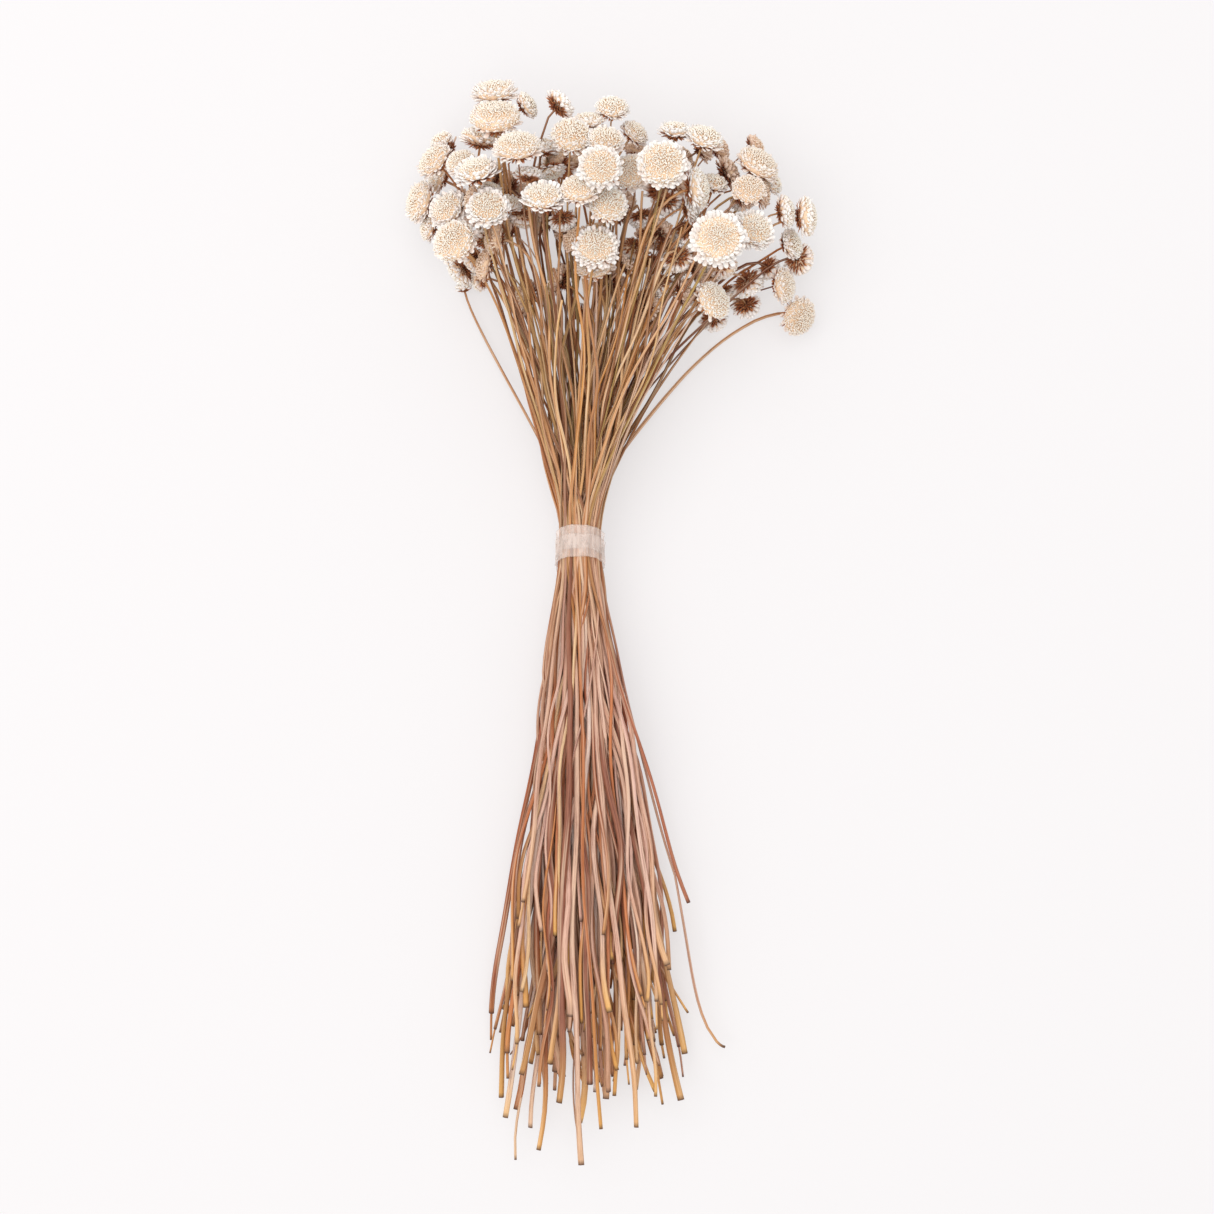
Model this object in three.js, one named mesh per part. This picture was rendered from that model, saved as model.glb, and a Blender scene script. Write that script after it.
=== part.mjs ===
// A bunch of dried glixia lying on a table: papery button flowers, each on its own leafless
// stem, held at the waist by one strip of clear tape wound round the stems.
// Millimetres, +Z up. The flowers point along +Y, the cut ends along -Y, and the table is Z = 0.
import * as THREE from "three";

// Driving dimensions.
const FLOWER_REACH = 175; // tie to the farthest flower, along the bunch
const FLOWER_SPREAD = 90; // tie line to the flower that stands farthest out, across the bunch
const FLOWER_DEPTH = 66; // table to the underside of the highest flower
const STEM_REACH = 242; // tie to the farthest cut end
const TAIL_SPREAD = 58; // tie line to the cut end that lies farthest out
const TAIL_DEPTH = 26; // table to the highest cut end
const HEAD_SCALE = 1; // makes every flower larger or smaller

const TIE_HEIGHT = 21; // table to the middle of the tie
const TIE_HALF_WIDTH = 9.2; // inside the tape, across the bunch
const TIE_HALF_DEPTH = 7.4; // inside the tape, up and down
const TAPE_WIDTH = 10; // along the stems
const TAPE_THICKNESS = 0.3;
const TAPE_TURNS = 2.2;
const TAPE_LAYER_GAP = 0.3; // keeps one turn of tape clear of the next
const TAPE_ADVANCE = 1.6; // how far one turn of tape creeps towards the cut ends
const TAPE_LEAN = 0.35; // how far the turns lean, so that they run nearer the flowers on top
const TAPE_STEPS_A_TURN = 28;

const CUT_RADIUS = 1.45; // stem at its cut end
const TIED_RADIUS = 0.85; // stem where the tape squeezes it
const NECK_RADIUS = 0.6; // stem under its flower
const STEM_SIDES = 6;
const STATIONS_BELOW = 6; // rings of a stem from its cut end to the tie
const STATIONS_ABOVE = 9; // rings from the tie to the flower
const CLEARANCE = 0.35; // kept between any two pieces

const PETALS = 8; // scallops on the plain solid's rim
const PETAL_DEPTH = 0.06; // of the flower's radius

// Each flower, as the bunch is laid out. across, along and up are shares of the spread, the
// reach and the depth above. turn is the way the flower looks, in degrees from +Y towards +X,
// and lift how far it looks up. radius is in millimetres. cut is where its stem ends, as
// shares of the tail's spread and of the stems' reach.
// prettier-ignore
const FLOWERS = [
  // across, along,   up,  turn, lift, radius,  cut across, cut along
  // the far crown
  [ -0.36,  0.98, 0.42,    -5,   25,   9.4,   -0.34, 0.95],
  [ -0.35,  0.91, 0.66,     0,   38,  10.4,   -0.26, 0.98],
  [ -0.08,  0.95, 0.50,    50,  -12,   6.8,   -0.06, 0.97],
  [  0.14,  0.94, 0.55,     5,   40,   7.0,    0.20, 0.90],
  [  0.53,  0.87, 0.62,    20,   32,   7.8,    0.48, 0.86],
  // the left flank
  [ -0.62,  0.83, 0.44,   -50,   30,   8.2,   -0.55, 0.90],
  [ -0.69,  0.75, 0.22,   -75,   26,   8.8,   -0.65, 0.81],
  [ -0.43,  0.79, 0.80,   -15,   35,   9.0,   -0.40, 0.62],
  [ -0.56,  0.72, 0.46,   -50,   50,   8.6,   -0.45, 0.76],
  [ -0.53,  0.65, 0.60,   -55,   58,   9.2,   -0.50, 0.93],
  [ -0.52,  0.60, 0.04,  -130,  -20,   6.8,   -0.30, 0.88],
  // the top, which looks up from the table
  [ -0.38,  0.71, 0.84,   -10,   68,   8.6,   -0.18, 0.84],
  [ -0.26,  0.84, 0.84,    -5,   34,   9.8,   -0.12, 0.90],
  [ -0.15,  0.73, 0.88,     0,   45,   8.8,   -0.02, 1.00],
  [ -0.03,  0.87, 0.72,    10,   55,   8.6,    0.06, 0.79],
  [  0.09,  0.79, 0.98,     0,   84,   8.8,    0.12, 0.94],
  [  0.12,  0.72, 0.80,    30,   62,   8.4,    0.22, 0.85],
  [  0.07,  0.63, 0.72,     0,   68,   9.2,    0.04, 0.30],
  [  0.35,  0.80, 0.90,     0,   74,  10.0,    0.38, 0.94],
  [  0.58,  0.64, 0.92,    10,   80,  11.2,    0.72, 0.58],
  // the right flank, which hangs out and down
  [  0.50,  0.76, 0.60,    82,   10,   8.8,    0.50, 0.76],
  [  0.74,  0.67, 0.66,    50,   55,   8.8,    0.66, 0.90],
  [  0.76,  0.82, 0.48,    35,   30,   9.2,    0.70, 0.83],
  [  0.97,  0.71, 0.34,    85,    5,   8.2,    0.98, 0.82],
  [  0.57,  0.52, 0.52,    62,   42,   8.2,    0.56, 0.91],
  [  0.73,  0.57, 0.16,   140,  -35,   7.2,    0.60, 0.78],
  [  0.95,  0.50, 0.10,   120,   48,   8.0,    0.30, 0.74],
  // the underside, which rests on the table
  [ -0.10,  0.84, 0.00,   -10,  -40,   8.0,    0.10, 0.88],
  [  0.36,  0.79, 0.00,    15,  -35,   8.0,    0.34, 0.70],
];

// The flower's outline, as shares of its radius: how far from the axis, and how far above
// the widest point. It runs from the neck, round the brown underside and the rim of bracts,
// to the crown of the disc.
const HEAD_OUTLINE = [
  [0, -0.46],
  [0.14, -0.46],
  [0.5, -0.26],
  [0.9, -0.1],
  [1, 0.04],
  [0.8, 0.22],
  [0.46, 0.4],
  [0, 0.46],
];
const RIM_FROM = 0.85; // outline points past this share of the radius are scalloped
const HEAD_SEGMENTS = 2 * PETALS;

const paper = new THREE.MeshStandardMaterial({ color: "#ead9c2", roughness: 0.95 });
const straw = new THREE.MeshStandardMaterial({ color: "#b08254", roughness: 0.8 });
const clearTape = new THREE.MeshStandardMaterial({
  color: "#e9e2dc",
  roughness: 0.25,
  opacity: 0.4,
  transparent: true,
});

const UP = new THREE.Vector3(0, 1, 0);

// A closed tube along rings of centres: a tapered cylinder, bent so that each of its rings
// stands square to the path, and not twisted from one ring to the next.
function bentTube(centres, radii, sides) {
  const last = centres.length - 1;
  const tube = new THREE.CylinderGeometry(1, 1, last, sides, last);
  tube.translate(0, last / 2, 0);
  const frames = [];
  let side = new THREE.Vector3(1, 0, 0);
  centres.forEach((centre, k) => {
    const ahead = centres[Math.min(k + 1, last)];
    const behind = centres[Math.max(k - 1, 0)];
    const tangent = ahead.clone().sub(behind).normalize();
    side = side.clone().addScaledVector(tangent, -side.dot(tangent)).normalize();
    frames.push({ side, across: new THREE.Vector3().crossVectors(side, tangent) });
  });
  const place = tube.getAttribute("position");
  for (let i = 0; i < place.count; i++) {
    const k = Math.round(place.getY(i));
    const at = centres[k]
      .clone()
      .addScaledVector(frames[k].side, place.getX(i) * radii[k])
      .addScaledVector(frames[k].across, place.getZ(i) * radii[k]);
    place.setXYZ(i, at.x, at.y, at.z);
  }
  tube.deleteAttribute("normal");
  tube.deleteAttribute("uv");
  return tube;
}

// A flower head as one turned solid with a scalloped rim, looking along +Y.
function headSolid(radius) {
  const outline = HEAD_OUTLINE.map(([out, up]) => new THREE.Vector2(out * radius, up * radius));
  const head = new THREE.LatheGeometry(outline, HEAD_SEGMENTS);
  const place = head.getAttribute("position");
  for (let i = 0; i < place.count; i++) {
    const out = Math.hypot(place.getX(i), place.getZ(i));
    if (out < RIM_FROM * radius) continue;
    const angle = Math.atan2(place.getZ(i), place.getX(i));
    const wave = 1 - PETAL_DEPTH * (1 - Math.cos(PETALS * angle)) / 2;
    place.setXYZ(i, place.getX(i) * wave, place.getY(i), place.getZ(i) * wave);
  }
  return head;
}

// How far a flower's lowest point hangs below its centre when it looks along facing.
function hangsBelow(radius, facing) {
  const level = Math.hypot(facing.x, facing.y);
  const depths = HEAD_OUTLINE.map(([out, up]) => radius * (out * level - up * facing.z));
  return Math.max(...depths);
}

// One strip of tape, wound round the stems. Each turn lies on the one before it, creeps
// towards the cut ends and leans.
function tapeSolid() {
  const steps = Math.round(TAPE_TURNS * TAPE_STEPS_A_TURN);
  const strip = new THREE.BoxGeometry(1, TAPE_WIDTH, TAPE_THICKNESS, steps, 1, 1);
  const place = strip.getAttribute("position");
  for (let i = 0; i < place.count; i++) {
    const turn = (place.getX(i) + 0.5) * TAPE_TURNS;
    const angle = -turn * 2 * Math.PI - Math.PI / 2;
    const layer = turn * (TAPE_THICKNESS + TAPE_LAYER_GAP);
    const out = layer + TAPE_THICKNESS / 2 + place.getZ(i);
    const across = (TIE_HALF_WIDTH + out) * Math.cos(angle);
    const height = (TIE_HALF_DEPTH + out) * Math.sin(angle);
    const creep = TAPE_ADVANCE * (TAPE_TURNS / 2 - turn);
    place.setXYZ(i, across, place.getY(i) + creep + TAPE_LEAN * height, height);
  }
  return strip;
}

// The flowers with their real sizes and places.
function layOut() {
  return FLOWERS.map(([across, along, up, turn, lift, size, cutAcross, cutAlong]) => {
    const radius = size * HEAD_SCALE;
    const heading = THREE.MathUtils.degToRad(turn);
    const rise = THREE.MathUtils.degToRad(lift);
    const facing = new THREE.Vector3(
      Math.sin(heading) * Math.cos(rise),
      Math.cos(heading) * Math.cos(rise),
      Math.sin(rise),
    );
    const centre = new THREE.Vector3(
      across * FLOWER_SPREAD,
      along * FLOWER_REACH,
      up * FLOWER_DEPTH + hangsBelow(radius, facing),
    );
    return { radius, facing, centre, cutAcross, cutAlong };
  });
}

// How far a flower reaches from its centre in a direction, as the lens that holds it.
const LENS_HALF_DEPTH = 0.5; // of the flower's radius
function reachOf(flower, way) {
  const along = flower.facing.dot(way);
  const flat = 1 - LENS_HALF_DEPTH * LENS_HALF_DEPTH;
  return flower.radius * Math.sqrt(1 - flat * along * along);
}

// Moves apart the flowers that stand in each other, and lifts those that stand in the table.
// They part mostly up and down, so that the layout seen from above keeps its shape.
const SPREAD_ROUNDS = 240;
const SIDEWAYS = 0.4; // how far they part level with the table, for each unit up or down
function spreadHeads(flowers) {
  for (let round = 0; round < SPREAD_ROUNDS; round++) {
    for (const [i, a] of flowers.entries()) {
      for (const b of flowers.slice(i + 1)) {
        const apart = b.centre.clone().sub(a.centre);
        const length = apart.length();
        apart.divideScalar(length);
        const short = reachOf(a, apart) + reachOf(b, apart) + CLEARANCE - length;
        if (short <= 0) continue;
        const push = new THREE.Vector3(SIDEWAYS * apart.x, SIDEWAYS * apart.y, apart.z);
        a.centre.addScaledVector(push, -short / 2);
        b.centre.addScaledVector(push, short / 2);
      }
    }
    for (const f of flowers) {
      f.centre.z = Math.max(f.centre.z, hangsBelow(f.radius, f.facing));
    }
  }
}

// A value's place in the order of all the values, from -1 to 1.
function ranks(values) {
  const order = values.map((v, i) => [v, i]).sort((a, b) => a[0] - b[0]);
  const rank = [];
  order.forEach(([, i], place) => {
    rank[i] = (2 * (place + 0.5)) / values.length - 1;
  });
  return rank;
}

// A stem's route before it settles: it leaves its cut end, runs through the tie in the
// place that its flower's side and height give it, and arrives square to the flower's back.
const TAPE_OUTER_DEPTH = TIE_HALF_DEPTH + TAPE_TURNS * (TAPE_THICKNESS + TAPE_LAYER_GAP);
const TIE_REACH =
  (TAPE_WIDTH + TAPE_ADVANCE * TAPE_TURNS) / 2 + TAPE_LEAN * TAPE_OUTER_DEPTH;
const TIE_FILL = Math.SQRT1_2; // keeps the corners of the layout inside the round tie
const HANDLE = 0.42; // how far a stem keeps the way that it leaves the tie, as a share
const NECK_HANDLE = 26; // how far it runs square to the flower's back, in millimetres
const FAN = 0.3; // the steepest that a stem leaves the tie, across for each unit along
const FAN_KEPT = 0.8; // of the straight way to its cut end
function route(flower, side, height) {
  const through = (y) =>
    new THREE.Vector3(
      side * TIE_FILL * TIE_HALF_WIDTH,
      y,
      TIE_HEIGHT + height * TIE_FILL * TIE_HALF_DEPTH,
    );
  const back = HEAD_OUTLINE[0][1] * flower.radius - CLEARANCE;
  const neck = flower.centre.clone().addScaledVector(flower.facing, back);
  const top = through(TIE_REACH);
  const bottom = through(-TIE_REACH);
  const cut = new THREE.Vector3(
    flower.cutAcross * TAIL_SPREAD,
    -flower.cutAlong * STEM_REACH,
    CUT_RADIUS + ((height + 1) / 2) * TAIL_DEPTH,
  );
  const leave = neck.clone().sub(top);
  leave.divideScalar(leave.y);
  leave.x = THREE.MathUtils.clamp(leave.x, -FAN, FAN);
  leave.z = THREE.MathUtils.clamp(leave.z, -FAN, FAN);
  const arrive = cut.clone().sub(bottom);
  arrive.multiply(new THREE.Vector3(FAN_KEPT, 1, FAN_KEPT));
  const above = new THREE.CubicBezierCurve3(
    top,
    top.clone().addScaledVector(leave, (neck.y - top.y) * HANDLE),
    neck.clone().addScaledVector(flower.facing, -NECK_HANDLE),
    neck,
  );
  const below = new THREE.QuadraticBezierCurve3(
    cut,
    bottom.clone().addScaledVector(arrive, HANDLE),
    bottom,
  );
  return [
    ...below.getSpacedPoints(STATIONS_BELOW - 1),
    ...above.getSpacedPoints(STATIONS_ABOVE - 1),
  ];
}

// The radius of a stem at each of its rings.
function stemRadii() {
  const below = Array.from({ length: STATIONS_BELOW }, (_, k) =>
    THREE.MathUtils.lerp(CUT_RADIUS, TIED_RADIUS, k / (STATIONS_BELOW - 1)),
  );
  const above = Array.from({ length: STATIONS_ABOVE }, (_, k) =>
    THREE.MathUtils.lerp(TIED_RADIUS, NECK_RADIUS, k / (STATIONS_ABOVE - 1)),
  );
  return [...below, ...above];
}

// The shares along two straight stretches, p to q and r to s, at which they are closest.
const PARALLEL = 1e-9;
function closest(p, q, r, s) {
  const u = q.clone().sub(p);
  const v = s.clone().sub(r);
  const w = p.clone().sub(r);
  const uu = u.dot(u);
  const uv = u.dot(v);
  const vv = v.dot(v);
  const within = (x) => Math.min(1, Math.max(0, x));
  const cross = uu * vv - uv * uv;
  let a = cross > PARALLEL ? within((uv * v.dot(w) - vv * u.dot(w)) / cross) : 0.5;
  const b = within((a * uv + v.dot(w)) / vv);
  a = within((b * uv - u.dot(w)) / uu);
  return [a, b];
}

// Settles the stems as a hand does in closing on them: any two that lie in each other are
// pushed apart, each is pushed off the flowers that it passes, out of the table, and into
// the tie. Its end under its flower stays where it is.
const SETTLE_ROUNDS = 260;
const EVENING = 0.12; // how strongly a push is shared along a stem, which keeps it smooth
function settle(stems, flowers, radii) {
  const last = radii.length - 1;
  const start = stems.map((stem) => stem.map((p) => p.clone()));
  const push = (stem, k, way, far) => {
    if (k < last) stem[k].addScaledVector(way, far);
  };
  const pushStretch = (stem, k, share, way, far) => {
    push(stem, k, way, far * (1 - share));
    push(stem, k + 1, way, far * share);
  };
  for (let round = 0; round < SETTLE_ROUNDS; round++) {
    for (let i = 0; i < stems.length; i++) {
      for (let j = i + 1; j < stems.length; j++) {
        for (let k = 0; k < last; k++) {
          for (let m = 0; m < last; m++) {
            const [p, q, r, s] = [stems[i][k], stems[i][k + 1], stems[j][m], stems[j][m + 1]];
            const room = radii[k] + radii[m] + CLEARANCE;
            if (Math.min(p.y, q.y) > Math.max(r.y, s.y) + room) continue;
            if (Math.min(r.y, s.y) > Math.max(p.y, q.y) + room) continue;
            const [a, b] = closest(p, q, r, s);
            const way = p.clone().lerp(q, a).sub(r.clone().lerp(s, b));
            const short = room - way.length();
            if (short <= 0) continue;
            way.normalize();
            pushStretch(stems[i], k, a, way, short);
            pushStretch(stems[j], m, b, way, -short);
          }
        }
      }
    }
    stems.forEach((stem, i) => {
      flowers.forEach((flower, f) => {
        if (f === i) return;
        for (let k = 0; k < last; k++) {
          const stretch = new THREE.Line3(stem[k], stem[k + 1]);
          const share = stretch.closestPointToPointParameter(flower.centre, true);
          const way = stretch.at(share, new THREE.Vector3()).sub(flower.centre);
          const short = flower.radius + radii[k] + CLEARANCE - way.length();
          if (short > 0) pushStretch(stem, k, share, way.normalize(), short);
        }
      });
      for (let k = 1; k < last - 1; k++) {
        const moved = stem[k].clone().sub(start[i][k]);
        const beside = stem[k - 1].clone().sub(start[i][k - 1]);
        beside.add(stem[k + 1]).sub(start[i][k + 1]).multiplyScalar(0.5);
        stem[k].addScaledVector(beside.sub(moved), EVENING);
      }
      for (const k of [STATIONS_BELOW - 1, STATIONS_BELOW]) {
        const inset = radii[k] + CLEARANCE;
        const across = stem[k].x / (TIE_HALF_WIDTH - inset);
        const height = (stem[k].z - TIE_HEIGHT) / (TIE_HALF_DEPTH - inset);
        const out = Math.max(1, Math.hypot(across, height));
        stem[k].x /= out;
        stem[k].z = TIE_HEIGHT + (stem[k].z - TIE_HEIGHT) / out;
        stem[k].y = start[i][k].y;
      }
      stem.slice(0, last).forEach((p, k) => {
        p.z = Math.max(p.z, radii[k]);
      });
    });
  }
}

const bunch = new THREE.Group();

function add(name, geometry, material) {
  const mesh = new THREE.Mesh(geometry, material);
  mesh.name = name;
  bunch.add(mesh);
  return mesh;
}

const flowers = layOut();
spreadHeads(flowers);
const sides = ranks(flowers.map((f) => f.centre.x));
const heights = ranks(flowers.map((f) => f.centre.z));
const radii = stemRadii();
const stems = flowers.map((flower, i) => route(flower, sides[i], heights[i]));
settle(stems, flowers, radii);

flowers.forEach((flower, i) => {
  const number = String(i + 1).padStart(2, "0");
  const head = add(`head_${number}`, headSolid(flower.radius), paper);
  head.position.copy(flower.centre);
  head.quaternion.setFromUnitVectors(UP, flower.facing);
  add(`stem_${number}`, bentTube(stems[i], radii, STEM_SIDES), straw);
});
const tape = add("tie_tape", tapeSolid(), clearTape);
tape.position.z = TIE_HEIGHT;

// The origin is under the middle of the bunch, on the table.
const box = new THREE.Box3().setFromObject(bunch, true);
const middle = box.getCenter(new THREE.Vector3());
bunch.position.set(-middle.x, -middle.y, -box.min.z);

export default bunch;
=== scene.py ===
# %% [markdown]
# # A bunch of dried glixia
# A bunch of papery button flowers lies on a pale table. Each has a stem of its own without a
# leaf, and one strip of clear tape holds all the stems at the waist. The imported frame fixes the
# size and the place of the tape, of 29 flowers and of their stems. This script gives those
# their real surfaces and fills the bunch with more flowers of the same make between them.

# %% Load the frame
import math

import bmesh
import bpy
import numpy as np
from mathutils import Matrix, Vector


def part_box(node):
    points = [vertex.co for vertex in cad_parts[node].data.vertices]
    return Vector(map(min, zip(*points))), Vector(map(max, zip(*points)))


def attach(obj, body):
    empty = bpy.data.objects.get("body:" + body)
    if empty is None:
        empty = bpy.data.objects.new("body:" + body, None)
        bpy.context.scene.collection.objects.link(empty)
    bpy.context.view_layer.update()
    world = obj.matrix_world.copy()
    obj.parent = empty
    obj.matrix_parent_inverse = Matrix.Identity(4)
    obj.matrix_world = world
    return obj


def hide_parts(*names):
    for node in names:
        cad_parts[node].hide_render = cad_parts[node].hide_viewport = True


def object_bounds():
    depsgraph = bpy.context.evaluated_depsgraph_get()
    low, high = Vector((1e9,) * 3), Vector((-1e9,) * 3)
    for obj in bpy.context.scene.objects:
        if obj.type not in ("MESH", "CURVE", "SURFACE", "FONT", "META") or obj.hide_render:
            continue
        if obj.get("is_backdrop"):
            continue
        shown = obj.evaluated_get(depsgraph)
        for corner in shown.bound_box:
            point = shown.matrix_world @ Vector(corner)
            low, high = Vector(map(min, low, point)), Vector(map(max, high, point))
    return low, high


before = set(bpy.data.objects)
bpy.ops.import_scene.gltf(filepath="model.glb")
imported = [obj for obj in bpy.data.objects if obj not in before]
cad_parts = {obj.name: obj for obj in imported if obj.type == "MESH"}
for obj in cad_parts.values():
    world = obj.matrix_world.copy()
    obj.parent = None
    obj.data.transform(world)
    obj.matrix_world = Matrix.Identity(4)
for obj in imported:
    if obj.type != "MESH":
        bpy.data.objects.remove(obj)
cad_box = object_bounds()
MM = 0.001
size = (cad_box[1] - cad_box[0]) / MM
print("frame", len(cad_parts), "nodes,", " x ".join(f"{s:.1f}" for s in size), "mm")

# %% [markdown]
# ## Reading the frame
# A stem's solid is a chain of small rings, so the middle of each ring is a point of its route.
# Vertices that lie within a ring's width of each other belong to one ring. A flower's solid is
# round about its axis, so the middle of its vertices lies on the axis, and the end of its stem
# lies on it too. Those two points give the way that the flower faces.

# %% Where the tie is, and how far the bunch reaches from it
tie_low, tie_high = (np.array(corner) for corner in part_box("tie_tape"))
tie = (tie_low + tie_high) / 2
low, high = (np.array(corner) for corner in cad_box)
spread = high[0] - tie[0]
reach = high[1] - tie[1]
tail = tie[1] - low[1]
print("tie at", np.round(tie / MM, 1), "reach", round(reach / MM), "tail", round(tail / MM))


# %% The rings of a stem and the axis of a flower
RING_REACH = 3.2 * MM


def corners(node):
    """The places of a node's vertices, once each."""
    places = [v.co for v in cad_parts[node].data.vertices]
    return np.unique(np.round(np.array(places), 6), axis=0)


def rings(node):
    """The centres of a stem's rings, from the cut end to the flower."""
    left = corners(node)
    found = []
    while len(left):
        near = np.linalg.norm(left - left[0], axis=1) < RING_REACH
        found.append(left[near].mean(axis=0))
        left = left[~near]
    chain = []
    here = min(found, key=lambda centre: centre[1])
    while found:
        nearest = min(range(len(found)), key=lambda k: np.linalg.norm(found[k] - here))
        here = found.pop(nearest)
        chain.append(here)
    return np.array(chain)


def unit(vector):
    """The vector's direction, one long."""
    return vector / np.linalg.norm(vector)


flowers = []
stem_nodes = sorted(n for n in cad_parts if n.startswith("stem_"))
for node in stem_nodes:
    head_node = node.replace("stem", "head")
    route = rings(node)
    head = corners(head_node)
    axis = unit(head.mean(axis=0) - route[-1])
    from_axis = head - head.mean(axis=0)
    from_axis -= np.outer(from_axis @ axis, axis)
    radius = np.linalg.norm(from_axis, axis=1).max()
    along = (head - head.mean(axis=0)) @ axis
    middle = head.mean(axis=0) + axis * (along.max() + along.min()) / 2
    flowers.append(
        {
            "number": len(flowers) + 1,
            "nodes": (head_node, node),
            "centre": middle,
            "facing": axis,
            "radius": radius,
            "route": route,
        }
    )
FRAMED = len(flowers)
print(FRAMED, "flowers read, radius", round(min(f["radius"] for f in flowers) / MM, 1), "to",
      round(max(f["radius"] for f in flowers) / MM, 1), "mm, rings", len(flowers[0]["route"]))

# %% [markdown]
# ## Flowers between the framed ones
# A cut bunch is a thick crowd: behind each flower that shows stands another. The first group
# below are the ones that show between the framed flowers, each given as shares of the bunch's
# spread, reach and height. The second group is drawn by a seeded rule: it fills the shaded
# middle and the underside, so that the bunch is full from every side. The third group are
# stems without a flower, as dry ones break off easily. They thicken the crowd of stems above
# the tie. They are listed as flowers too, but so small that they take hardly any room, and
# nothing blooms on them.

# %% Flowers that show between the framed ones
# across, along and up are shares. turn is the way the flower looks, in degrees from +Y towards
# +X, and lift how far it looks up. The radius is in millimetres.
SHOWING = [
    # the far crown
    [-0.22, 0.94, 0.50, 60, 10, 5.8],
    [-0.16, 0.85, 0.50, 5, 12, 6.9],
    [0.04, 0.90, 0.60, 0, 20, 6.5],
    [0.10, 0.85, 0.76, 10, 45, 7.6],
    [0.23, 0.88, 0.50, 45, 30, 6.2],
    [0.40, 0.88, 0.60, 5, 20, 6.9],
    [0.56, 0.77, 0.52, 20, 35, 5.8],
    [0.80, 0.78, 0.40, 60, 25, 5.8],
    # the left flank
    [-0.58, 0.87, 0.40, -30, 35, 5.0],
    [-0.41, 0.87, 0.50, 8, 6, 8.5],
    [-0.49, 0.81, 0.62, -25, 50, 6.1],
    [-0.60, 0.80, 0.18, -70, 12, 6.7],
    [-0.64, 0.69, 0.28, -80, 12, 5.8],
    [-0.37, 0.75, 0.66, 15, 15, 5.3],
    [-0.39, 0.66, 0.42, -20, -20, 6.6],
    [-0.50, 0.57, 0.10, -12, 10, 3.5],
    [-0.45, 0.62, 0.18, -120, -40, 5.5],
    [-0.44, 0.58, 0.12, -100, -35, 4.3],
    # the middle
    [0.00, 0.74, 0.88, -5, 45, 7.9],
    [-0.21, 0.78, 0.70, 5, -5, 5.7],
    [-0.12, 0.80, 0.46, 165, 10, 5.8],
    [-0.30, 0.73, 0.46, 20, 30, 5.8],
    [0.21, 0.79, 0.60, -30, 60, 8.0],
    [0.07, 0.60, 0.48, -5, 45, 8.1],
    [-0.07, 0.69, 0.50, 170, -45, 5.8],
    [-0.24, 0.70, 0.40, -170, -35, 5.8],
    [0.00, 0.50, 0.27, 10, -50, 4.3],
    [0.28, 0.49, 0.19, 170, -25, 5.1],
    # the shaded right of the middle
    [0.37, 0.73, 0.42, 150, -45, 6.2],
    [0.27, 0.70, 0.36, 160, -30, 5.8],
    [0.37, 0.65, 0.26, 120, -35, 6.2],
    [0.31, 0.61, 0.16, 170, -35, 5.9],
    [0.52, 0.61, 0.20, 160, -35, 6.3],
    [0.47, 0.54, 0.12, 165, -30, 5.5],
    # the right flank
    [0.47, 0.72, 0.50, 80, 8, 6.5],
    [0.70, 0.75, 0.62, 10, 60, 6.9],
    [0.69, 0.74, 0.38, 150, -30, 5.8],
    [0.87, 0.71, 0.46, 80, 8, 6.9],
    [0.89, 0.65, 0.30, 70, 30, 6.6],
    [0.93, 0.62, 0.20, 100, -50, 6.7],
    [0.86, 0.56, 0.28, 85, 28, 7.4],
    [0.80, 0.60, 0.22, 120, -40, 5.1],
    [0.71, 0.52, 0.10, 150, -55, 5.9],
    [0.57, 0.49, 0.08, 165, -50, 5.9],
    [0.64, 0.55, 0.20, 140, -20, 4.7],
    [0.41, 0.61, 0.44, 160, -55, 6.4],
    [0.33, 0.55, 0.34, 175, -45, 5.9],
    [0.46, 0.67, 0.40, 150, -50, 6.3],
    [0.22, 0.63, 0.36, -165, -50, 6.0],
    [0.60, 0.60, 0.34, 140, -55, 6.2],
    [0.53, 0.53, 0.28, 160, -60, 6.0],
]


def place_flower(across, along, up, facing, radius):
    """Adds a flower to the list from its shares of the bunch."""
    flowers.append(
        {
            "number": len(flowers) + 1,
            "centre": np.array([tie[0] + across * spread, tie[1] + along * reach, up * high[2]]),
            "facing": unit(facing),
            "radius": radius * MM,
        }
    )


for across, along, up, turn, lift, radius in SHOWING:
    turn, lift = math.radians(turn), math.radians(lift)
    level = math.cos(lift)
    facing = np.array([math.sin(turn) * level, math.cos(turn) * level, math.sin(lift)])
    place_flower(across, along, up, facing, radius)
print(len(flowers) - FRAMED, "flowers placed by hand")

# %% Flowers in the shade, by a seeded rule
SHADED = 44
dice = np.random.default_rng(41)
for k in range(SHADED):
    along = dice.uniform(0.52, 0.88)
    share = 2 * (k + dice.random()) / SHADED - 1
    across = 0.1 + 0.74 * share * (0.55 + 0.45 * along)
    up = dice.uniform(0.06, 0.55)
    outwards = unit(np.array([across - 0.1, 0.75 * (along - 0.45), 1.1 * (up - 0.4)]))
    place_flower(across, along, up, outwards + dice.normal(0, 0.12, 3), dice.uniform(5.2, 7.4))
print(len(flowers), "flowers in all")

# %% Stems that have lost their flower
BARE = 54
BARE_RADIUS = 1.2
for k in range(BARE):
    along = dice.uniform(0.48, 0.82)
    share = 2 * (k + dice.random()) / BARE - 1
    across = 0.08 + 0.7 * share * along
    up = dice.uniform(0.15, 0.7)
    from_tie = np.array([across * spread, along * reach, up * high[2] - tie[2]])
    place_flower(across, along, up, unit(from_tie) + dice.normal(0, 0.12, 3), BARE_RADIUS)
    flowers[-1]["bare"] = True
print(BARE, "bare stems")

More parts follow.
